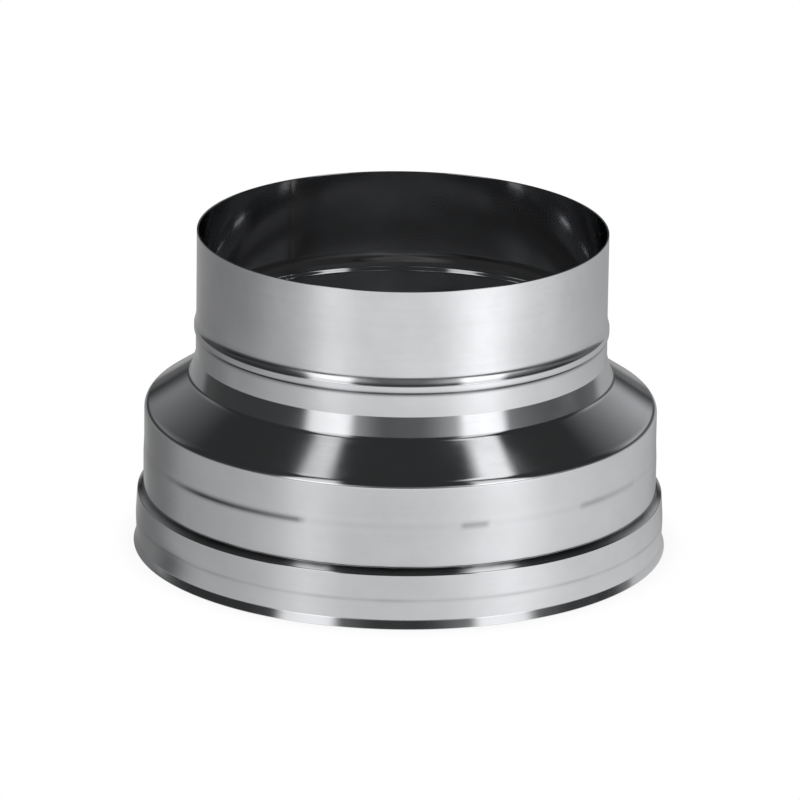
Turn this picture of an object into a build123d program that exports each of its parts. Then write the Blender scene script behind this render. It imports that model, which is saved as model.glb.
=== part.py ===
"""Duct reducer: one formed steel sheet that carries a duct from a wide pipe down to a narrow one."""
import os

from build123d import *

# Sheet and the two pipes
sheet = 0.5                  # thickness of the formed sheet
narrow_bore = 120.0          # clear bore of the spigot
wide_pipe = 150.0            # outside diameter of the pipe the socket takes
pipe_gap = 0.2               # radial gap between that pipe and the socket

# Height of each band, from the bottom edge up
lip_height = 2.7
lower_ring_height = 5.9
upper_ring_height = 7.6
step_height = 1.5
lower_socket_height = 11.9
relief_height = 1.0
upper_socket_height = 12.4
cone_height = 8.9
flare_height = 6.4
neck_height = 6.1
bead_foot_height = 1.4
bead_height = 1.8
bead_ramp_height = 2.0
spigot_length = 26.4

# How far each band stands out from its neighbour
lip_rise = 0.9
ring_foot_rise = 0.2
ring_swell = 0.45
ring_rise = 1.8
relief_rise = 0.2
flare_rise = 1.75
neck_rise = 0.1
bead_rise = 0.65

# Bend radii on the outer face
lip_bend = 1.5
step_foot_bend = 0.7
step_head_bend = 0.4
shoulder_bend = 3.0
crease_bend = 2.0
neck_bend = 0.8
bead_bend = 0.8
ramp_bend = 7.5
crisp = 0.0                  # shallow line with no bend radius to speak of

# Outer radii
spigot_radius = narrow_bore / 2 + sheet
neck_radius = spigot_radius + neck_rise
bead_radius = spigot_radius + bead_rise
crease_radius = neck_radius + flare_rise
upper_socket_radius = wide_pipe / 2 + pipe_gap + sheet
lower_socket_radius = upper_socket_radius + relief_rise
ring_radius = lower_socket_radius + ring_rise
ring_crest_radius = ring_radius + ring_swell
ring_foot_radius = ring_radius + ring_foot_rise

# Levels where one band meets the next
ring_crest = lip_height + lower_ring_height
step_foot = ring_crest + upper_ring_height
step_head = step_foot + step_height
relief_foot = step_head + lower_socket_height
relief_head = relief_foot + relief_height
shoulder = relief_head + upper_socket_height
crease = shoulder + cone_height
neck_foot = crease + flare_height
neck_head = neck_foot + neck_height
bead_foot = neck_head + bead_foot_height
bead_head = bead_foot + bead_height
spigot_foot = bead_head + bead_ramp_height
rim = spigot_foot + spigot_length

# The lip is drawn on past the bottom edge, so that the edge can be cut level
lip_run = 4 * sheet
lip_run_radius = ring_foot_radius + lip_rise * (lip_height + lip_run) / lip_height

# One sheet of constant thickness, drawn as its outer line and revolved about the duct's axis
with BuildPart() as reducer_body:
    with BuildSketch(Plane.XZ):
        with BuildLine():
            FilletPolyline(
                (lip_run_radius, -lip_run),
                (ring_foot_radius, lip_height),
                (ring_crest_radius, ring_crest),
                (ring_radius, step_foot),
                (lower_socket_radius, step_head),
                (lower_socket_radius, relief_foot),
                (upper_socket_radius, relief_head),
                (upper_socket_radius, shoulder),
                (crease_radius, crease),
                (neck_radius, neck_foot),
                (neck_radius, neck_head),
                (bead_radius, bead_foot),
                (bead_radius, bead_head),
                (spigot_radius, spigot_foot),
                (spigot_radius, rim),
                radius=(
                    lip_bend,
                    crisp,
                    step_foot_bend,
                    step_head_bend,
                    crisp,
                    crisp,
                    shoulder_bend,
                    crease_bend,
                    neck_bend,
                    bead_bend,
                    bead_bend,
                    bead_bend,
                    ramp_bend,
                ),
            )
            offset(amount=sheet, side=Side.LEFT)
        make_face()
        with Locations((0, -lip_run)):
            Rectangle(4 * ring_radius, 2 * lip_run, mode=Mode.SUBTRACT)
    revolve(axis=Axis.Z)
reducer_body.part.label = "reducer_body"

os.makedirs("parts", exist_ok=True)
export_step(reducer_body.part, "parts/reducer_body.step")
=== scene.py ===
"""Round duct reducer in formed stainless sheet, and the studio that it is shown in."""

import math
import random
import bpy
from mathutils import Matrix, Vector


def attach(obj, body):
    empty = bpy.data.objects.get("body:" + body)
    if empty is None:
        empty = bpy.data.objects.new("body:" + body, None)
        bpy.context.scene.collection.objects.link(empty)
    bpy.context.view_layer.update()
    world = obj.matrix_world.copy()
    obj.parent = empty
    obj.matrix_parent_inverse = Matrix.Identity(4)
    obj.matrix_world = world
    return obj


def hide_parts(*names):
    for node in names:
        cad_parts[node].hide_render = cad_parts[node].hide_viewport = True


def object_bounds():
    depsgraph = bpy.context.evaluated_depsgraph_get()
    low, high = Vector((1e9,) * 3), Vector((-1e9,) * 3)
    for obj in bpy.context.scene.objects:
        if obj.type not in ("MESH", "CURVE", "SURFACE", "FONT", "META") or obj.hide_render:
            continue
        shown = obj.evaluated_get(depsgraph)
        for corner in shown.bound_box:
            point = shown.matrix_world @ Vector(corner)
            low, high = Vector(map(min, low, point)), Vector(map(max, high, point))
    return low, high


bl_info = {
    "name": "Duct Reducer",
    "version": (1, 0, 0),
    "blender": (4, 5, 0),
    "location": "View3D > Sidebar > Reducer",
    "description": "Forms a sheet steel duct reducer, finishes it and lights it",
    "category": "Object",
}

from typing import NamedTuple

import bpy
from bpy.props import FloatProperty, FloatVectorProperty, IntProperty, PointerProperty
from mathutils import Matrix, Vector

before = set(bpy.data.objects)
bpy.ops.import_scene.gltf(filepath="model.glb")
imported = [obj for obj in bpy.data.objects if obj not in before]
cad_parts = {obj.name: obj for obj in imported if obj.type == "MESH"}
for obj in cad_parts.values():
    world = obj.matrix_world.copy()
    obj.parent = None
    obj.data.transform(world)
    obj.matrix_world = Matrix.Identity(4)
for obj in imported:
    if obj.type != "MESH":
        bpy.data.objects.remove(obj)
cad_low, cad_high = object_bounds()

MM = 0.001
BODY = "root"
NODE = "reducer_body"
SLOT = "stainless_sheet"
PIECE = "reducer_sheet"

# Heights and rises of the section that go with the tooling
LIP_HEIGHT = 2.7 * MM
FOOT_RISE = 0.2 * MM  # ring's foot over its head
CREST_LEVEL = 8.6 * MM
CREST_RISE = 0.45 * MM  # ring's crest over its head
STEP_HEIGHT = 1.5 * MM
RELIEF_RISE = 0.2 * MM  # socket's lower half over its upper half
RELIEF_EASE = 2.5 * MM  # half the height that this relief is eased over
FLARE_HEIGHT = 6.4 * MM
NECK_RISE = 0.1 * MM  # neck over the spigot
BEAD_FOOT = 2.85 * MM  # from the bead's upper edge down to the neck
BEAD_HEIGHT = 1.8 * MM
BEAD_RAMP = 2.0 * MM

# Bend radii on the outer face
LIP_BEND = 1.5 * MM
CREST_BEND = 0.6 * MM
STEP_FOOT_BEND = 0.7 * MM
STEP_HEAD_BEND = 0.4 * MM
RELIEF_BEND = 8.0 * MM
SHOULDER_BEND = 3.0 * MM
CREASE_BEND = 2.0 * MM
NECK_BEND = 0.8 * MM
BEAD_FOOT_BEND = 0.6 * MM
BEAD_BEND = 1.4 * MM
RAMP_BEND = 10.0 * MM
EDGE_EASE = 0.12 * MM  # corners of the two cut edges

# Fineness of the mesh: longest straight run and widest turn of one face
OUTER_RUN = 2.6 * MM
OUTER_TURN = math.radians(6)
INNER_RUN = 4.5 * MM
INNER_TURN = math.radians(7)
INNER_LEAST = 0.01 * MM  # least height between two points of the inner face
RUN_GUARD = 0.12 * MM  # close pair at the ends of a straight run
TRIM_GUARD = 0.1 * MM  # close pair at the ends of a trimmed line

# Mesh stations across a rolled line, in half widths from its middle, and what they take the place of
STATIONS = (0.2, 0.55, 0.9, 1.25, 1.7, 2.3, 3.2)
STATION_REACH = 3.4

# The weld: its half width, the columns of the mesh that it has to itself, and its height inside
SEAM_WIDTH = math.radians(0.6)
SEAM_CLEAR = math.radians(1.6)
SEAM_COLUMNS = (-1.3, -0.8, -0.45, -0.15, 0.15, 0.45, 0.8, 1.3)
SEAM_INSIDE = 0.4

# Stretches of the lap line that stand open: from and to, in degrees round from the front,
# and how far open the stretch is at each of those
LAP_OPENINGS = (
    (-64.0, -49.0, 0.3, 0.95),
    (-51.0, -21.2, 1.0, 0.75),
    (13.6, 20.2, 0.5, 0.5),
    (43.7, 65.0, 0.4, 0.2),
    (97.0, 126.0, 0.4, 0.6),
    (151.0, 170.0, 0.8, 0.6),
    (-149.0, -119.0, 0.5, 0.7),
    (-101.0, -84.0, 0.3, 0.2),
)
LAP_CLOSED = 0.06  # how far open the line stands elsewhere
LAP_ENDS = 0.8  # degrees that a stretch takes to open
LAP_SPACING = 0.6 * MM
LAP_REACH = 3.0 * MM  # how far from the line its ledge is drawn in
LAP_LEDGE = 1.2 * MM  # height of a ledge that is fully drawn in
LAP_SHARPNESS = 0.6  # how nearly an open stretch comes to that ledge
LAP_WIDTH = 0.5 * MM
# half width of the shade painted along the open lap line
LAP_SHADE_WIDTH = 0.9 * MM

# Slow waves of rolled sheet: how many round the duct, their height in millimetres, and their strength
SLOW_WAVES = ((2, 150, 1.0), (3, 90, 0.8), (7, 60, 0.5), (13, 45, 0.35), (22, 30, 0.22))
FULL_TURN = 6.28  # radians, near enough for waves

# Grain of the steel, round the duct and across, in millimetres
FINE_GRAIN = (26.0, 0.30)
COARSE_GRAIN = (90.0, 1.6)
MEAN_RADIUS = 70 * MM  # that turns an angle round the duct into a length
WELD_TINT_REACH = 3.5 * MM
# how far the painted crevice shade darkens the steel
CREVICE_SHADE_COVER = 0.9

# The floor: its radius, the part of it that the reducer covers, which is painted dark as shade, and
# how wide that part's edge is
FLOOR_RADIUS = 4.0
COVERED = 78.2 * MM
COVERED_EDGE = 0.3 * MM
MIRROR_RADIUS = 72 * MM  # mean radius of the walls that mirror the floor

# Soft light on the floor that the steel mirrors, as bearing and brightness: close by, and further off
NEAR_FLOOR = (
    (-180, 0.36),
    (-145, 0.22),
    (-112, 0.41),
    (-70, 0.57),
    (0, 0.77),
    (75, 0.83),
    (140, 0.63),
    (180, 0.36),
)
FAR_FLOOR = (
    (-180, 0.38),
    (-115, 0.28),
    (-70, 0.55),
    (-20, 0.88),
    (20, 0.93),
    (75, 0.94),
    (110, 0.67),
    (180, 0.38),
)
# Pools of light on it: bearing, width, and brightness close by and further off
POOLS = ((-40.0, 14.0, 0.25, 0.25), (48.0, 19.0, 0.33, 0.47))

WHITE = (1.0, 1.0, 1.0, 1.0)
DAYLIGHT = (0.97, 0.99, 1.0, 1.0)


# The sheet's sizes, its finish and the studio


def length(name, description, default):
    """A size in metres."""
    return FloatProperty(
        name=name, description=description, default=default, unit="LENGTH", precision=5
    )


def share(name, description, default):
    """A number from nothing to one."""
    return FloatProperty(
        name=name, description=description, default=default, subtype="FACTOR", min=0, max=1
    )


def colour(name, description, default):
    """A colour in linear light."""
    return FloatVectorProperty(
        name=name, description=description, default=default, subtype="COLOR", min=0, max=1
    )


def turn(name, description, degrees):
    """An angle."""
    return FloatProperty(
        name=name, description=description, default=math.radians(degrees), subtype="ANGLE"
    )


def level_of_light(name, description, default):
    """A brightness."""
    return FloatProperty(name=name, description=description, default=default)


class ReducerSheet(bpy.types.PropertyGroup):
    """Sizes of the formed sheet"""

    sheet: length("Sheet", "Thickness of the sheet", 0.5 * MM)
    rim: length("Rim height", "Height of the spigot's rim above the bottom edge", cad_high.z)
    spigot_radius: length("Spigot radius", "Outer radius of the spigot", 60.5 * MM)
    bead_rise: length("Bead rise", "How far the stop bead stands out from the spigot", 0.65 * MM)
    bead_level: length("Bead level", "Height of the stop bead's upper edge", 67.6 * MM)
    flare_rise: length("Flare rise", "How far the neck flares out above the cone", 1.75 * MM)
    crease_level: length("Crease level", "Height where the neck meets the cone", 51.9 * MM)
    shoulder_level: length("Shoulder level", "Height where the cone meets the socket", 43.0 * MM)
    socket_radius: length("Socket radius", "Outer radius of the socket's upper half", 75.7 * MM)
    lap_level: length("Lap level", "Height of the line half way up the socket", 30.1 * MM)
    lap_depth: length("Lap depth", "Depth of that line where it stands open", 0.04 * MM)
    ring_rise: length("Ring rise", "How far the ring stands out from the socket", 1.8 * MM)
    step_level: length("Step level", "Height of the step's upper edge", 17.7 * MM)
    lip_rise: length("Lip rise", "How far the lip flares out below the ring", 0.9 * MM)
    waviness: length("Waviness", "Height of the slow waves that rolling leaves", 0.03 * MM)
    seam_rise: length("Seam rise", "Height of the planished weld down the back", 0.05 * MM)
    seam_place: turn("Seam place", "Where the weld is, round from the front", -146.0)
    segments: IntProperty(name="Segments", description="Faces around the duct", default=300, min=32)


class ReducerFinish(bpy.types.PropertyGroup):
    """Finish of the stainless sheet"""

    bright: colour("Bright steel", "Colour of the cleanest steel", (0.662, 0.669, 0.687))
    dull: colour("Dull steel", "Colour of the rubbed patches", (0.622, 0.628, 0.643))
    weld: colour("Weld", "Colour of the steel by the weld", (0.55, 0.53, 0.50))
    # colour of the shade painted into the rolled lines and the open lap line
    crevice_shade: colour("Grime", "Colour of the dirt in the rolled lines", (0.05, 0.05, 0.052))
    smooth: share("Smoothest", "Roughness of the cleanest steel", 0.095)
    rough: share("Roughest", "Roughness of the rubbed patches", 0.155)
    grain: share("Grain", "Pull of the rolling grain on reflections", 0.35)
    bore: share("Bore", "Roughness of the inside, as a share of the outside's", 0.85)


class ReducerStudio(bpy.types.PropertyGroup):
    """Floor, lamps and camera"""

    floor: colour("Floor", "Colour of the pale floor", WHITE[:3])
    key: level_of_light("Side lamps", "Brightness of the two tall lamps", 1.0)
    top: level_of_light("Top lamps", "Brightness of the two overhead lamps", 1.2)
    low: level_of_light("Low lamps", "Brightness of the two low fill lamps", 0.6)
    gloom: level_of_light("Gloom", "Brightness of the unlit studio in reflections", 0.036)
    height: length("Aimed height", "Height on the axis that the camera is set out from", 47.2 * MM)
    distance: length("Distance", "Distance from there to the camera", 2.2565)
    elevation: turn("Elevation", "How far the camera looks down", 18.22)
    roll: turn("Roll", "Turn of the camera about its own line of sight", 0.81)
    lens: FloatProperty(
        name="Lens", description="Focal length in millimetres on a 36 mm sensor", default=344.1
    )
    middle: FloatVectorProperty(
        name="Middle",
        description="Point in the middle of the picture",
        subtype="TRANSLATION",
        unit="LENGTH",
        default=(-0.22 * MM, -1.10 * MM, 43.88 * MM),
    )


# The sheet's section


def section_corners(s):
    """Corners of the outer line from the bottom edge up, as radius, level and bend radius."""
    neck = s.spigot_radius + NECK_RISE
    bead = s.spigot_radius + s.bead_rise
    crease = neck + s.flare_rise
    lower = s.socket_radius + RELIEF_RISE
    ring = lower + s.ring_rise
    foot = ring + FOOT_RISE
    return [
        (foot + s.lip_rise, 0.0, 0.0),
        (foot, LIP_HEIGHT, LIP_BEND),
        (ring + CREST_RISE, CREST_LEVEL, CREST_BEND),
        (ring, s.step_level - STEP_HEIGHT, STEP_FOOT_BEND),
        (lower, s.step_level, STEP_HEAD_BEND),
        (lower, s.lap_level - RELIEF_EASE, RELIEF_BEND),
        (s.socket_radius, s.lap_level + RELIEF_EASE, RELIEF_BEND),
        (s.socket_radius, s.shoulder_level, SHOULDER_BEND),
        (crease, s.crease_level, CREASE_BEND),
        (neck, s.crease_level + FLARE_HEIGHT, NECK_BEND),
        (neck, s.bead_level - BEAD_FOOT, BEAD_FOOT_BEND),
        (bead, s.bead_level - BEAD_HEIGHT, BEAD_BEND),
        (bead, s.bead_level, BEAD_BEND),
        (s.spigot_radius, s.bead_level + BEAD_RAMP, RAMP_BEND),
        (s.spigot_radius, s.rim, 0.0),
    ]


def bent_line(corners, longest, finest):
    """The corners joined by straight runs and round bends, as points with their outward normals."""
    line = []
    start = Vector(corners[0][:2])
    for i in range(1, len(corners)):
        here = Vector(corners[i][:2])
        along = (here - start).normalized()
        bend = corners[i][2]
        onward, angle = along, 0.0
        if i + 1 < len(corners):
            onward = (Vector(corners[i + 1][:2]) - here).normalized()
            angle = math.atan2(along.x * onward.y - along.y * onward.x, along.dot(onward))
        tangent = bend * math.tan(abs(angle) / 2)
        end = here - along * tangent
        line += straight_run(start, end, longest)
        if abs(angle) > 1e-6 and bend > 0:
            centre = end + Vector((-along.y, along.x)) * math.copysign(bend, angle)
            steps = max(3, math.ceil(abs(angle) / finest))
            for k in range(1, steps):
                swing = Matrix.Rotation(angle * k / steps, 2)
                heading = swing @ along
                line.append((centre + swing @ (end - centre), Vector((heading.y, -heading.x))))
        start = here + onward * tangent
    return line


def straight_run(start, end, longest):
    """Points of a straight run, with a close pair at each end that keeps its shading flat."""
    run = end - start
    size = run.length
    if size < 1e-7:
        return []
    heading = run / size
    normal = Vector((heading.y, -heading.x))
    guard = min(RUN_GUARD, size / 4)
    count = max(1, math.ceil((size - 2 * guard) / longest))
    places = [0.0, guard]
    places += [guard + (size - 2 * guard) * k / count for k in range(1, count)]
    places += [size - guard, size]
    return [(start + heading * p, normal) for p in places]


def at_level(line, level):
    """The line's point and normal at a level."""
    for (a, na), (b, nb) in zip(line, line[1:]):
        if a.y <= level <= b.y:
            t = (level - a.y) / (b.y - a.y)
            return a.lerp(b, t), na.lerp(nb, t).normalized()
    raise ValueError("the line has no such level")


def with_stations(line, level, half_width):
    """The line with close stations across a groove, so that its walls have faces of their own."""
    low, high = level - STATION_REACH * half_width, level + STATION_REACH * half_width
    kept = [p for p in line if not low < p[0].y < high]
    added = [at_level(line, level + half_width * k * side) for k in STATIONS for side in (-1, 1)]
    return sorted(kept + added, key=lambda p: p[0].y)


def trimmed(line, low, high):
    """The line between two levels, with a close pair at each end that keeps its shading flat."""
    ends = [at_level(line, z) for z in (low, low + TRIM_GUARD, high - TRIM_GUARD, high)]
    between_ends = [p for p in line if low + 2 * TRIM_GUARD < p[0].y < high - 2 * TRIM_GUARD]
    return ends[:2] + between_ends + ends[2:]


def rising(line, least):
    """The line without the points that double back at a bend tighter than the sheet is thick."""
    kept = [line[0]]
    for point in line[1:]:
        if point[0].y > kept[-1][0].y + least:
            kept.append(point)
    return kept


def eased_edge(first, last, corner):
    """Points across a cut edge of the sheet, with its two corners eased."""
    across = (last - first).normalized()
    outward = Vector((across.y, -across.x))
    eased = []
    for quarter in (0.3, 0.7, 1.0):
        a = quarter * math.pi / 2
        eased.append((across * corner * (1 - math.cos(a)), outward * corner * math.sin(a)))
    points = [first + inward + out for inward, out in eased]
    points += [last - inward + out for inward, out in reversed(eased)]
    return points


def section_lines(s, lines):
    """The section's outer line, with stations across the rolled lines, and its inner line."""
    corners = section_corners(s)
    outer = bent_line(corners, OUTER_RUN, OUTER_TURN)
    outer = with_stations(outer, s.lap_level, LAP_SPACING)
    for line in lines:
        outer = with_stations(outer, line.level, line.spacing)
    inner = [(p - n * s.sheet, n) for p, n in bent_line(corners, INNER_RUN, INNER_TURN)]
    inner = rising(inner, INNER_LEAST)
    low, high = EDGE_EASE, s.rim - EDGE_EASE
    return trimmed(outer, low, high), trimmed(inner, low, high)


# What forming leaves in the sheet


def slow_waves(seed):
    """A function of place and level that gives the slow waves of rolled sheet, from -1 to 1."""
    chance = random.Random(seed)
    waves = []
    for around, tall, strength in SLOW_WAVES:
        phases = chance.uniform(0, FULL_TURN), chance.uniform(0, FULL_TURN)
        waves.append((around, tall * MM, strength, *phases))
    total = sum(w[2] for w in waves)

    def wave(place, level):
        height = 0.0
        for around, tall, strength, p, q in waves:
            height += strength * math.cos(around * place + p) * math.cos(FULL_TURN * level / tall + q)
        return height / total

    return wave


def quick_waves(seed, counts):
    """A function of place that wobbles quickly round the duct, from -1 to 1."""
    chance = random.Random(seed)
    waves = [(k, chance.uniform(0, FULL_TURN)) for k in counts]

    def wave(place):
        return sum(math.cos(k * place + p) for k, p in waves) / len(waves)

    return wave


def lap_opening(place):
    """How far open the lap line stands at a place round the duct."""
    degrees = math.degrees(place)
    most = LAP_CLOSED
    for first, last, at_first, at_last in LAP_OPENINGS:
        inside = min(degrees - first, last - degrees)
        opening = at_first + (at_last - at_first) * ease((degrees - first) / (last - first))
        most = max(most, opening * min(1.0, max(0.0, inside / LAP_ENDS)))
    return most


def ease(x):
    """Smooth rise from 0 to 1."""
    x = min(1.0, max(0.0, x))
    return x * x * (3 - 2 * x)


def dip(distance, half_width):
    """Cross section of a rolled line, 1 at its middle."""
    return math.exp(-((distance / half_width) ** 2))


class RolledLine(NamedTuple):
    """A line that forming leaves round the outer face, and the shade painted into it"""

    level: float
    spacing: float  # half width that the mesh is made finer for
    depth: float
    width: float  # half width
    crevice_shade: float  # how much painted shade it holds, from 0 to 1
    shade_width: float  # half width of the painted shade
    depth_drift: float = 0.0  # how much the depth and the painted shade change round the duct
    crevice_shade_drift: float = 0.0
    shade_drop: float = 0.0  # how far below the line the painted shade is
    jag: float = 0.0  # how far the line wobbles up and down


def rolled_lines(s):
    """The crevice above the step, the line round the ring's crest and the line under the bead."""
    step = RolledLine(
        level=s.step_level + 0.15 * MM,
        spacing=0.26 * MM,
        depth=0.25 * MM,
        width=0.22 * MM,
        crevice_shade=0.85,
        shade_width=0.65 * MM,
        depth_drift=0.3,
        crevice_shade_drift=0.15,
        shade_drop=0.35 * MM,
        jag=0.1 * MM,
    )
    crest = RolledLine(
        level=CREST_LEVEL,
        spacing=0.45 * MM,
        depth=0.05 * MM,
        width=0.5 * MM,
        crevice_shade=0.20,
        shade_width=0.5 * MM,
        depth_drift=0.2,
        crevice_shade_drift=0.10,
    )
    bead = RolledLine(
        level=s.bead_level - 2.4 * MM,
        spacing=0.4 * MM,
        depth=0.12 * MM,
        width=0.4 * MM,
        crevice_shade=0.75,
        shade_width=0.65 * MM,
    )
    return step, crest, bead


class Forming:
    """How far the formed sheet stands off its smooth section, and where shade is painted into it"""

    def __init__(self, s):
        self.s = s
        self.lines = rolled_lines(s)
        self.wave = slow_waves(11)
        self.jag = quick_waves(5, (41, 67, 89, 113, 139))
        self.drift = quick_waves(8, (9, 17, 26))

    def swell(self, place, level):
        """The slow waves, which only move the sheet inward."""
        return self.s.waviness * (self.wave(place, level) - 1.0)

    def weld(self, place):
        """Height of the weld."""
        return self.s.seam_rise * dip(place - self.s.seam_place, SEAM_WIDTH)

    def lap(self, place, p):
        """How far the lap line's ledge stands off the eased relief."""
        over = p.y - self.s.lap_level
        if abs(over) >= LAP_REACH:
            return 0.0
        ledge = self.s.socket_radius + RELIEF_RISE * (1 - ease(over / LAP_LEDGE + 0.5))
        ledge -= self.s.lap_depth * dip(over, LAP_WIDTH)
        return LAP_SHARPNESS * lap_opening(place) * (ledge - p.x)

    def above(self, place, p, line):
        """How far a point is above a rolled line."""
        return p.y - (line.level + line.jag * self.jag(place))

    def outside(self, place, p):
        """How far the outer face stands off."""
        off = self.swell(place, p.y) + self.weld(place) + self.lap(place, p)
        for line in self.lines:
            depth = line.depth * (1 - line.depth_drift + line.depth_drift * self.drift(place))
            off -= depth * dip(self.above(place, p, line), line.width)
        return off

    def inside(self, place, p):
        """How far the inner face stands off."""
        return self.swell(place, p.y) - SEAM_INSIDE * self.weld(place)

    def crevice_shade(self, place, p):
        """How much shade is painted on the outer face, in the rolled lines and along the open lap
        line.
        """
        most = lap_opening(place) * dip(p.y - self.s.lap_level, LAP_SHADE_WIDTH)
        for line in self.lines:
            held = line.crevice_shade + line.crevice_shade_drift * self.drift(place)
            most = max(most, held * dip(self.above(place, p, line) + line.shade_drop, line.shade_width))
        return most


def places_round(s):
    """Angles of the mesh's columns round from the front, with finer ones across the weld."""
    places = [2 * math.pi * (k / s.segments - 0.5) for k in range(s.segments)]
    places = [a for a in places if abs(a - s.seam_place) > SEAM_CLEAR]
    places += [s.seam_place + math.radians(d) for d in SEAM_COLUMNS]
    return sorted(places)


def closed_skin(places, columns):
    """Mesh of the columns, each a loop of points, set round the axis and joined."""
    vertices = []
    for place, column in zip(places, columns):
        side, front = math.sin(place), -math.cos(place)
        vertices += [(p.x * side, p.x * front, p.y) for p in column]
    around, tall = len(columns), len(columns[0])
    faces = []
    for i in range(around):
        this, following = i * tall, (i + 1) % around * tall
        for j in range(tall):
            k = (j + 1) % tall
            faces.append((this + j, following + j, following + k, this + k))
    mesh = bpy.data.meshes.new(PIECE)
    mesh.from_pydata(vertices, [], faces)
    return mesh


def form_sheet(s):
    """Mesh of the whole sheet: outer face, rim, inner face and bottom edge as one closed skin."""
    forming = Forming(s)
    outer, bore = section_lines(s, forming.lines)
    rim_edge = eased_edge(outer[-1][0], bore[-1][0], EDGE_EASE)
    foot_edge = eased_edge(bore[0][0], outer[0][0], EDGE_EASE)
    edges = len(rim_edge) + len(foot_edge)

    places = places_round(s)
    columns, crevice_shade = [], []
    for place in places:
        rim_shift = Vector((forming.swell(place, s.rim), 0))
        foot_shift = Vector((forming.swell(place, 0.0), 0))
        column = [p + n * forming.outside(place, p) for p, n in outer]
        column += [p + rim_shift for p in rim_edge]
        column += [p + n * forming.inside(place, p) for p, n in reversed(bore)]
        column += [p + foot_shift for p in foot_edge]
        columns.append(column)
        # painted shade in the rolled lines of the outer face, none inside or on the edges
        crevice_shade += [forming.crevice_shade(place, p) for p, n in outer] + [0.0] * (len(bore) + edges)
    inside = [0.0] * (len(outer) + len(rim_edge)) + [1.0] * len(bore) + [0.0] * len(foot_edge)

    mesh = closed_skin(places, columns)
    for name, values in (("crevice_shade", crevice_shade), ("inside", inside * len(places))):
        mesh.attributes.new(name, "FLOAT", "POINT").data.foreach_set("value", values)
    mesh.shade_smooth()
    mesh.validate()
    return mesh


# Nodes


def clean_tree(owner):
    """The owner's empty node tree."""
    owner.use_nodes = True
    owner.node_tree.nodes.clear()
    return owner.node_tree


def feed(tree, socket, value):
    """Gives a socket a number, a colour or another node's output."""
    if isinstance(value, bpy.types.NodeSocket):
        tree.links.new(value, socket)
    else:
        socket.default_value = value


def end_tree(tree, kind, shader):
    """Gives the tree its output node."""
    feed(tree, tree.nodes.new(kind).inputs["Surface"], shader)


def maths(tree, operation, *values):
    """Output of a math node."""
    made = tree.nodes.new("ShaderNodeMath")
    made.operation = operation
    for socket, value in zip(made.inputs, values):
        feed(tree, socket, value)
    return made.outputs[0]


def times(tree, first, *others):
    """Values multiplied."""
    for value in others:
        first = maths(tree, "MULTIPLY", first, value)
    return first


def times_plus(tree, a, b, c):
    """Two values multiplied, plus a third."""
    return maths(tree, "MULTIPLY_ADD", a, b, c)


def part_way(tree, a, b, factor):
    """A value part of the way from one to another."""
    return times_plus(tree, maths(tree, "SUBTRACT", b, a), factor, a)


def spread(tree, value, low, high, to_low=0.0, to_high=1.0, smooth=True):
    """A value spread from one range to another, held at both ends."""
    made = tree.nodes.new("ShaderNodeMapRange")
    made.interpolation_type = "SMOOTHSTEP" if smooth else "LINEAR"
    made.clamp = True
    for socket, given in zip(made.inputs, (value, low, high, to_low, to_high)):
        feed(tree, socket, given)
    return made.outputs[0]


def mixed(tree, factor, a, b):
    """Two colours mixed."""
    made = tree.nodes.new("ShaderNodeMix")
    made.data_type = "RGBA"
    feed(tree, made.inputs[0], factor)
    feed(tree, made.inputs[6], a)
    feed(tree, made.inputs[7], b)
    return made.outputs[2]


def opaque(value):
    """A colour as a socket takes it."""
    return (*value, 1.0)


def axes_of(tree, vector):
    """The three parts of a vector."""
    made = tree.nodes.new("ShaderNodeSeparateXYZ")
    feed(tree, made.inputs[0], vector)
    return made.outputs


def place_of(tree, x, y, z):
    """A vector from three values."""
    made = tree.nodes.new("ShaderNodeCombineXYZ")
    for socket, value in zip(made.inputs, (x, y, z)):
        feed(tree, socket, value)
    return made.outputs[0]


def coordinates(tree, kind):
    """The texture coordinates of one kind."""
    return tree.nodes.new("ShaderNodeTexCoord").outputs[kind]


def round_axis(tree, x, y):
    """Angle from the front and distance from the axis."""
    angle = maths(tree, "ARCTAN2", x, times(tree, y, -1.0))
    reach = maths(tree, "POWER", times_plus(tree, x, x, times(tree, y, y)), 0.5)
    return angle, reach


def noise(tree, vector, scale, detail, roughness=0.5):
    """Grey noise."""
    made = tree.nodes.new("ShaderNodeTexNoise")
    feed(tree, made.inputs["Vector"], vector)
    made.inputs["Scale"].default_value = scale
    made.inputs["Detail"].default_value = detail
    made.inputs["Roughness"].default_value = roughness
    return made.outputs[0]


def painted(tree, name):
    """A value that the mesh carries."""
    made = tree.nodes.new("ShaderNodeAttribute")
    made.attribute_name = name
    return made.outputs["Fac"]


def glow(tree, colour_value, strength):
    """An emission shader."""
    made = tree.nodes.new("ShaderNodeEmission")
    feed(tree, made.inputs["Color"], colour_value)
    feed(tree, made.inputs["Strength"], strength)
    return made.outputs[0]


# The steel


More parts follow.
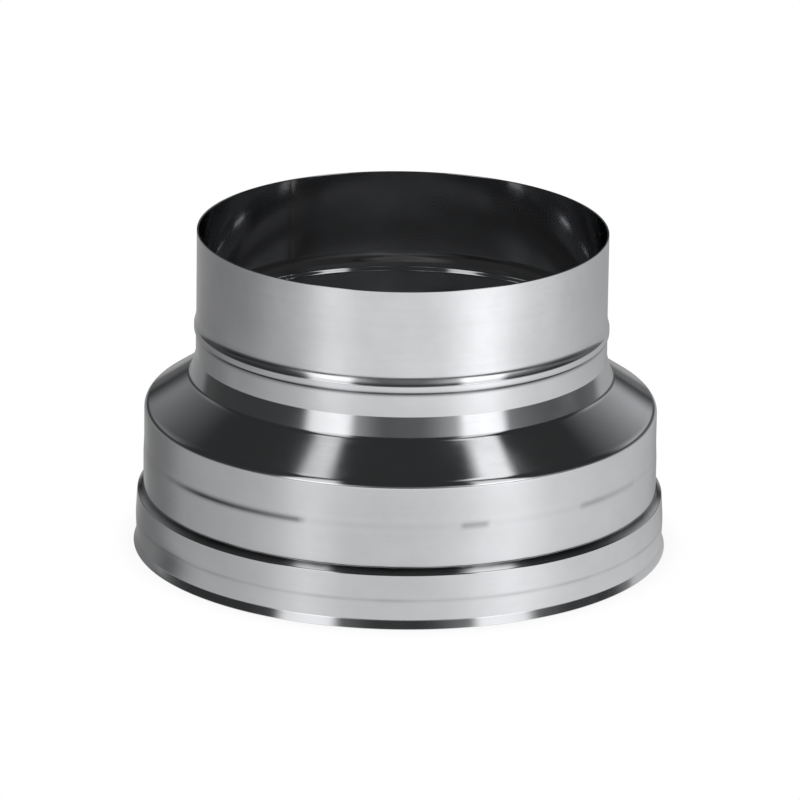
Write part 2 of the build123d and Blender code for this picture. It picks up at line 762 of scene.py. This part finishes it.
def stainless(f, seam_place):
    """Cold-rolled stainless sheet: fine grain round the duct, cloudy patches and a tinted weld."""
    material = bpy.data.materials.new(SLOT)
    tree = clean_tree(material)
    spot = coordinates(tree, "Object")

    # Lengths round the duct and along the sheet, with the weld half way round
    turned = tree.nodes.new("ShaderNodeVectorRotate")
    turned.rotation_type = "Z_AXIS"
    feed(tree, turned.inputs["Vector"], spot)
    turned.inputs["Angle"].default_value = math.pi - seam_place
    x, y, z = axes_of(tree, turned.outputs[0])
    angle, reach = round_axis(tree, x, y)
    around = times(tree, angle, MEAN_RADIUS)
    along = maths(tree, "SUBTRACT", z, reach)

    def grain_noise(long, wide):
        """Noise drawn out round the duct."""
        lengthways = times(tree, around, 1 / (long * MM))
        crossways = times(tree, along, 1 / (wide * MM))
        return noise(tree, place_of(tree, lengthways, crossways, 0.0), 1.0, 2.0)

    coarse = times(tree, grain_noise(*COARSE_GRAIN), 0.45)
    grain = times_plus(tree, grain_noise(*FINE_GRAIN), 0.55, coarse)
    cloud = noise(tree, spot, 60.0, 4.0, 0.6)
    wear = times_plus(tree, cloud, 0.75, times(tree, grain, 0.25))
    wear = spread(tree, wear, 0.34, 0.66)

    # Colour: clean and rubbed steel, the weld's tint, and painted shade darkening the rolled lines
    from_seam = maths(tree, "SUBTRACT", MEAN_RADIUS * math.pi, maths(tree, "ABSOLUTE", around))
    tint = spread(tree, from_seam, 0.0, WELD_TINT_REACH, 0.35, 0.0)
    steel = mixed(tree, wear, opaque(f.bright), opaque(f.dull))
    steel = mixed(tree, tint, steel, opaque(f.weld))
    steel = mixed(tree, times(tree, painted(tree, "crevice_shade"), CREVICE_SHADE_COVER), steel, opaque(f.crevice_shade))

    # Roughness, and the grain in relief
    blur = spread(tree, wear, 0.0, 1.0, f.smooth, f.rough, False)
    blur = times(tree, blur, spread(tree, painted(tree, "inside"), 0.0, 1.0, 1.0, f.bore))
    bump = tree.nodes.new("ShaderNodeBump")
    bump.inputs["Strength"].default_value = 0.04
    bump.inputs["Distance"].default_value = 0.02 * MM
    feed(tree, bump.inputs["Height"], grain)

    surface = tree.nodes.new("ShaderNodeBsdfPrincipled")
    surface.inputs["Metallic"].default_value = 1.0
    surface.inputs["Anisotropic"].default_value = f.grain
    surface.inputs["Anisotropic Rotation"].default_value = 0.25
    feed(tree, surface.inputs["Base Color"], steel)
    feed(tree, surface.inputs["Roughness"], blur)
    feed(tree, surface.inputs["Normal"], bump.outputs[0])
    end_tree(tree, "ShaderNodeOutputMaterial", surface.outputs[0])
    return material


# The studio


def seen_or_mirrored(tree, seen, mirrored):
    """One shader for what the camera sees, and another for what the steel mirrors."""
    ray = tree.nodes.new("ShaderNodeLightPath").outputs["Is Camera Ray"]
    made = tree.nodes.new("ShaderNodeMixShader")
    feed(tree, made.inputs[0], ray)
    feed(tree, made.inputs[1], mirrored)
    feed(tree, made.inputs[2], seen)
    return made.outputs[0]


def ramp_round(tree, degrees, stops):
    """A brightness, from 0 to 2, that changes round the floor."""
    made = tree.nodes.new("ShaderNodeFloatCurve")
    curve = made.mapping.curves[0]
    while len(curve.points) > 2:
        curve.points.remove(curve.points[1])
    places = [((d + 180) / 360, b / 2) for d, b in stops]
    curve.points[0].location = places[0]
    curve.points[1].location = places[-1]
    for x, y in places[1:-1]:
        curve.points.new(x, y)
    made.mapping.update()
    made.inputs["Factor"].default_value = 1.0
    feed(tree, made.inputs["Value"], spread(tree, degrees, -180.0, 180.0, smooth=False))
    return times(tree, made.outputs[0], 2.0)


def pool(tree, degrees, middle, width):
    """A soft pool of light round one bearing, 1 at its middle."""
    off = maths(tree, "DIVIDE", maths(tree, "SUBTRACT", degrees, middle), width)
    return maths(tree, "EXPONENT", times(tree, off, off, -1.0))


def floor_material(studio):
    """Glowing pale floor: to the camera it is plain, with a soft contact shadow and painted shade
    under the reducer; in reflections it is graded with painted light.
    """
    material = bpy.data.materials.new("studio_floor")
    tree = clean_tree(material)
    x, y, _ = axes_of(tree, coordinates(tree, "Object"))
    angle, reach = round_axis(tree, x, y)
    open_floor = spread(tree, reach, COVERED, COVERED + COVERED_EDGE)

    shade = tree.nodes.new("ShaderNodeAmbientOcclusion")
    shade.inputs["Distance"].default_value = 14 * MM
    shade.samples = 8
    contact = spread(tree, shade.outputs["AO"], 0.0, 0.9, 0.82, 1.0)
    # where the reducer covers it, the floor is painted dark as shade inside the bore
    seen = times(tree, contact, spread(tree, open_floor, 0.0, 1.0, 0.3, 1.0))

    # Bearing that the steel's walls mirror a place from, which is wider close by
    narrower = maths(tree, "SUBTRACT", 2.0, maths(tree, "DIVIDE", MIRROR_RADIUS, reach))
    degrees = times(tree, angle, 180 / math.pi)
    bearing = times(tree, degrees, maths(tree, "DIVIDE", 2.0, narrower))

    # Light by bearing and distance, fading far off and to the sides
    near = ramp_round(tree, bearing, NEAR_FLOOR)
    far = ramp_round(tree, bearing, FAR_FLOOR)
    for middle, width, near_light, far_light in POOLS:
        light = pool(tree, bearing, middle, width)
        near = times_plus(tree, light, near_light, near)
        far = times_plus(tree, light, far_light, far)
    lit = part_way(tree, near, far, spread(tree, reach, 0.17, 0.30))
    far_fade = spread(tree, reach, 0.44, 1.00, 1.0, 0.08)
    side_fade = spread(tree, maths(tree, "ABSOLUTE", x), 0.36, 0.52, 1.0, 0.28)
    lit = times(tree, lit, far_fade, side_fade)

    # Least light towards the skyline behind, and a dim place close by on the left
    from_left = spread(tree, maths(tree, "DIVIDE", x, reach), -0.8, 0.2, 0.075, 0.15)
    behind = spread(tree, maths(tree, "DIVIDE", y, reach), 0.10, 0.55, 0.25, 1.0)
    lit = maths(tree, "MAXIMUM", lit, times(tree, from_left, behind))
    close = spread(tree, reach, 0.086, 0.108, 0.23, 0.0)
    lit = maths(tree, "SUBTRACT", lit, times(tree, pool(tree, bearing, -115.0, 13.0), close))
    # in reflections the floor inside the bore is painted nearly black, as shade
    mirrored = times(tree, lit, spread(tree, open_floor, 0.0, 1.0, 0.085, 1.0))

    both = seen_or_mirrored(
        tree, glow(tree, opaque(studio.floor), seen), glow(tree, WHITE, mirrored)
    )
    end_tree(tree, "ShaderNodeOutputMaterial", both)
    return material


def lamp_material(name, strength, sides, foot, head):
    """Soft lamp face that hides nothing behind it; it fades over shares of its width and height."""
    material = bpy.data.materials.new(name)
    tree = clean_tree(material)
    u, v, _ = axes_of(tree, coordinates(tree, "UV"))
    from_side = maths(tree, "MINIMUM", u, maths(tree, "SUBTRACT", 1.0, u))
    fade = times(
        tree,
        spread(tree, from_side, 0.0, sides),
        spread(tree, v, 0.0, foot),
        spread(tree, v, 1.0 - head, 1.0, 1.0, 0.0),
    )
    both = tree.nodes.new("ShaderNodeAddShader")
    feed(tree, both.inputs[0], glow(tree, WHITE, times(tree, fade, strength)))
    feed(tree, both.inputs[1], tree.nodes.new("ShaderNodeBsdfTransparent").outputs[0])
    end_tree(tree, "ShaderNodeOutputMaterial", both.outputs[0])
    return material


def stage_piece(name, mesh, material):
    """A piece of the studio, which isn't part of the reducer."""
    mesh.materials.append(material)
    piece = bpy.data.objects.new(name, mesh)
    bpy.context.scene.collection.objects.link(piece)
    return piece


def lamp(name, place, strength, edges):
    """A four-sided lamp of small faces; place gives the point for u and v from 0 to 1."""
    steps = 12
    row = steps + 1
    vertices = [place(i / steps, j / steps) for j in range(row) for i in range(row)]
    corners = [j * row + i for j in range(steps) for i in range(steps)]
    mesh = bpy.data.meshes.new(name)
    mesh.from_pydata(vertices, [], [(a, a + 1, a + row + 1, a + row) for a in corners])
    layer = mesh.uv_layers.new(name="face")
    for loop in mesh.loops:
        j, i = divmod(loop.vertex_index, row)
        layer.data[loop.index].uv = (i / steps, j / steps)
    piece = stage_piece(name, mesh, lamp_material(name, strength, *edges))
    piece.visible_camera = False


def standing_lamp(name, foot, head, height, away, strength, edges):
    """A curved lamp round the reducer; foot and head are its bearings in degrees."""
    clear = 20 * MM

    def place(u, v):
        first, last = (foot[k] + (head[k] - foot[k]) * v for k in (0, 1))
        bearing = math.radians(first + (last - first) * u)
        up = clear + (height - clear) * v
        return (away * math.sin(bearing), -away * math.cos(bearing), up)

    lamp(name, place, strength, edges)


def hanging_lamp(name, near, far, strength):
    """A flat lamp overhead; near and far are its sideways reach at its front and at its back."""
    front, back, height = -0.62, 0.50, 1.2

    def place(u, v):
        left, right = (near[k] + (far[k] - near[k]) * v for k in (0, 1))
        return (left + (right - left) * u, front + (back - front) * v, height)

    lamp(name, place, strength, (0.25, 0.3, 0.175))


def set_lamps(studio):
    """Two tall lamps, two low ones and two overhead, on the left and on the right."""
    tall = {"height": 1.75, "away": 1.2, "strength": studio.key, "edges": (0.2, 0.05, 0.70)}
    low = {"height": 0.36, "away": 1.25, "strength": studio.low, "edges": (0.45, 0.1, 0.35)}
    standing_lamp("lamp_left", (-55, -21), (-42, -33), **tall)
    standing_lamp("lamp_right", (28, 62), (37, 45), **tall)
    standing_lamp("lamp_low_left", (-74, -10), (-46, -6), **low)
    standing_lamp("lamp_low_right", (12, 96), (8, 46), **low)
    hanging_lamp("lamp_top_left", (-0.884, -0.453), (-0.279, -0.162), 0.75 * studio.top)
    hanging_lamp("lamp_top_right", (0.329, 1.034), (0.300, 0.362), studio.top)


def set_floor(studio):
    """A round pale floor."""
    around = 96
    vertices = [(0, 0, 0)]
    for k in range(around):
        a = 2 * math.pi * k / around
        vertices.append((FLOOR_RADIUS * math.cos(a), FLOOR_RADIUS * math.sin(a), 0))
    faces = [(0, k + 1, (k + 1) % around + 1) for k in range(around)]
    mesh = bpy.data.meshes.new("studio_floor")
    mesh.from_pydata(vertices, [], faces)
    stage_piece("studio_floor", mesh, floor_material(studio))


def set_world(studio):
    """Pale to the camera, and a dim studio with a lighter wall behind in reflections."""
    world = bpy.data.worlds.new("studio")
    bpy.context.scene.world = world
    tree = clean_tree(world)
    x, y, z = axes_of(tree, coordinates(tree, "Generated"))

    # The wall behind, lighter on the right, with a dim middle
    left = spread(tree, z, 0.25, 0.66, 0.21, 0.0, False)
    right = spread(tree, z, 0.25, 0.70, 0.46, 0.0, False)
    wall = times(
        tree,
        part_way(tree, left, right, spread(tree, x, -0.05, 0.05)),
        spread(tree, y, 0.25, 0.60),
        spread(tree, maths(tree, "ABSOLUTE", x), 0.06, 0.28),
        spread(tree, z, 0.06, 0.24),
    )

    # A faint glow along the horizon, higher towards the front
    lift = maths(tree, "DIVIDE", z, spread(tree, y, -0.9, 0.25, 0.34, 0.06))
    horizon = times(
        tree, spread(tree, lift, 0.50, 0.90, 1.0, 0.0), spread(tree, x, -0.8, 0.2, 0.03, 0.15)
    )

    mirrored = maths(tree, "ADD", maths(tree, "ADD", wall, horizon), studio.gloom)
    both = seen_or_mirrored(
        tree, glow(tree, opaque(studio.floor), 1.0), glow(tree, DAYLIGHT, mirrored)
    )
    end_tree(tree, "ShaderNodeOutputWorld", both)


def set_camera(studio):
    """The camera at the photograph's angle."""
    e = studio.elevation
    outward = Vector((0, -math.cos(e), math.sin(e)))
    place = Vector((0, 0, studio.height)) + studio.distance * outward
    sight = (Vector(studio.middle) - place).normalized()
    right = sight.cross(Vector((0, 0, 1))).normalized()
    up = right.cross(sight)
    c, s = math.cos(studio.roll), math.sin(studio.roll)
    axes = Matrix((right * c + up * s, up * c - right * s, -sight)).transposed()

    data = bpy.data.cameras.new("camera")
    data.lens = studio.lens
    data.sensor_width = 36.0
    data.clip_start = 0.01
    data.clip_end = 20.0
    camera = bpy.data.objects.new("camera", data)
    bpy.context.scene.collection.objects.link(camera)
    camera.matrix_world = Matrix.Translation(place) @ axes.to_4x4()
    bpy.context.scene.camera = camera


# Operators and panel


class FormReducer(bpy.types.Operator):
    """Form the reducer from one sheet and give it its steel"""

    bl_idname = "object.reducer_sheet"
    bl_label = "Form the reducer"
    bl_options = {"REGISTER", "UNDO"}

    def execute(self, context):
        """Makes the sheet and hands it to the frame."""
        sizes = context.scene.reducer_sheet
        mesh = form_sheet(sizes)
        mesh.materials.append(stainless(context.scene.reducer_finish, sizes.seam_place))
        piece = bpy.data.objects.new(PIECE, mesh)
        context.scene.collection.objects.link(piece)
        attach(piece, BODY)
        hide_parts(NODE)
        return {"FINISHED"}


class SetReducerStudio(bpy.types.Operator):
    """Set the floor, the lamps and the camera"""

    bl_idname = "scene.reducer_studio"
    bl_label = "Set the studio"
    bl_options = {"REGISTER", "UNDO"}

    def execute(self, context):
        """Makes the studio round the reducer."""
        studio = context.scene.reducer_studio
        set_floor(studio)
        set_world(studio)
        set_lamps(studio)
        set_camera(studio)
        context.scene.view_settings.view_transform = "Standard"
        return {"FINISHED"}


class ReducerPanel(bpy.types.Panel):
    """Reducer and studio settings"""

    bl_idname = "VIEW3D_PT_reducer"
    bl_label = "Duct Reducer"
    bl_space_type = "VIEW_3D"
    bl_region_type = "UI"
    bl_category = "Reducer"

    def draw(self, context):
        """Lists each operator under the settings that it uses."""
        scene = context.scene
        for operator, groups in (
            (FormReducer, (scene.reducer_sheet, scene.reducer_finish)),
            (SetReducerStudio, (scene.reducer_studio,)),
        ):
            box = self.layout.box()
            for group in groups:
                for name in group.__annotations__:
                    box.prop(group, name)
            box.operator(operator.bl_idname)


CLASSES = (
    ReducerSheet,
    ReducerFinish,
    ReducerStudio,
    FormReducer,
    SetReducerStudio,
    ReducerPanel,
)


def register():
    """Adds the settings, the operators and the panel."""
    for made in CLASSES:
        bpy.utils.register_class(made)
    bpy.types.Scene.reducer_sheet = PointerProperty(type=ReducerSheet)
    bpy.types.Scene.reducer_finish = PointerProperty(type=ReducerFinish)
    bpy.types.Scene.reducer_studio = PointerProperty(type=ReducerStudio)


def unregister():
    """Takes them away again."""
    del bpy.types.Scene.reducer_studio
    del bpy.types.Scene.reducer_finish
    del bpy.types.Scene.reducer_sheet
    for made in reversed(CLASSES):
        bpy.utils.unregister_class(made)


def main():
    """Forms the reducer and sets the studio."""
    register()
    bpy.ops.object.reducer_sheet()
    bpy.ops.scene.reducer_studio()


if __name__ == "__main__":
    main()
